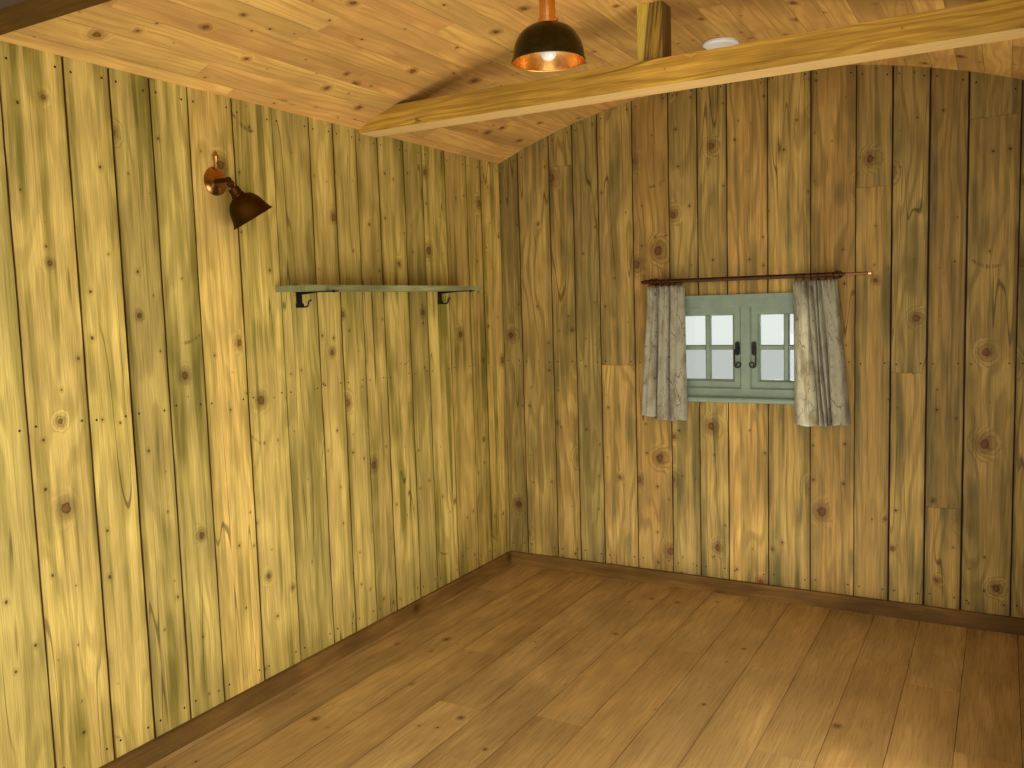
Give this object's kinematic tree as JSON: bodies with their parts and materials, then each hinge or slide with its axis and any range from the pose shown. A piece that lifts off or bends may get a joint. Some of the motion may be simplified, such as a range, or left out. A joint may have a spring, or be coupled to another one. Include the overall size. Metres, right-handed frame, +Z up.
{
  "type": "shepherds hut end section",
  "caption": "Window end of a timber shepherds hut: boarded walls, bow roof, tie beams, curtained casement window, shelf and lamps, open where the next bay joins.",
  "frame": {"origin": "centre of the hut end's footprint box, at the ground under the bearers", "axes": "+X to the right seen from the open end, +Y along the hut to the window wall, +Z up"},
  "size_m": [3.284, 3.359, 3.053],
  "materials": {
    "lining_pine": "rough sawn",
    "window_wall_pine": "rough sawn",
    "ceiling_pine": "planed",
    "floor_oak": "oiled",
    "beam_timber": "planed",
    "post_timber": "planed",
    "frame_timber": "rough sawn",
    "cladding_timber": "weathered",
    "trim_timber": "weathered",
    "skirting_timber": "rough sawn",
    "roof_steel": "satin",
    "window_paint": "painted satin",
    "clear_glass": "polished",
    "black_iron": "waxed",
    "copper": "aged copper",
    "brown_pole": "satin",
    "bronze_shade": "satin",
    "green_shade": "satin",
    "opal_glass": "opal",
    "curtain_cloth": "woven",
    "shelf_paint": "painted matt",
    "white_plastic": "matt"
  },
  "bodies": {
    "root": {"floor_bearers": "frame_timber", "floor_joists": "frame_timber", "floor_rims": "frame_timber", "floor_deck": "floor_oak", "left_wall_lining": "lining_pine", "right_wall_lining": "lining_pine", "end_wall_lining": "window_wall_pine", "left_wall_core": "frame_timber", "right_wall_core": "frame_timber", "end_wall_core": "frame_timber", "left_wall_cladding": "cladding_timber", "right_wall_cladding": "cladding_timber", "end_wall_cladding": "cladding_timber", "corner_boards": "trim_timber", "ceiling_lining": "ceiling_pine", "roof_core": "frame_timber", "roof_sheet": "roof_steel", "eaves_fascias": "trim_timber", "bargeboard": "trim_timber", "end_skirting": "skirting_timber", "left_skirting": "skirting_timber", "right_skirting": "skirting_timber", "tie_beam_1": "beam_timber", "tie_beam_2": "beam_timber", "king_post_1": "post_timber", "king_post_2": "post_timber", "window_frame": "window_paint", "inner_sill": "window_paint", "outer_sill": "window_paint", "outer_architrave": "window_paint", "left_casement": "window_paint", "right_casement": "window_paint", "left_glass": "clear_glass", "right_glass": "clear_glass", "left_fastener": "black_iron", "right_fastener": "black_iron", "curtain_pole": "brown_pole", "pole_brackets": "brown_pole", "left_curtain": "curtain_cloth", "right_curtain": "curtain_cloth", "shelf_board": "shelf_paint", "near_shelf_bracket": "black_iron", "far_shelf_bracket": "black_iron", "wall_lamp_rose": "copper", "wall_lamp_arm": "bronze_shade", "wall_lamp_holder": "copper", "wall_lamp_shade": "bronze_shade", "wall_lamp_bulb": "opal_glass", "pendant_shade": "green_shade", "pendant_cap": "copper", "pendant_stem": "copper", "pendant_rose": "copper", "pendant_bulb": "opal_glass", "ceiling_alarm": "white_plastic"}
  },
  "joints": []
}
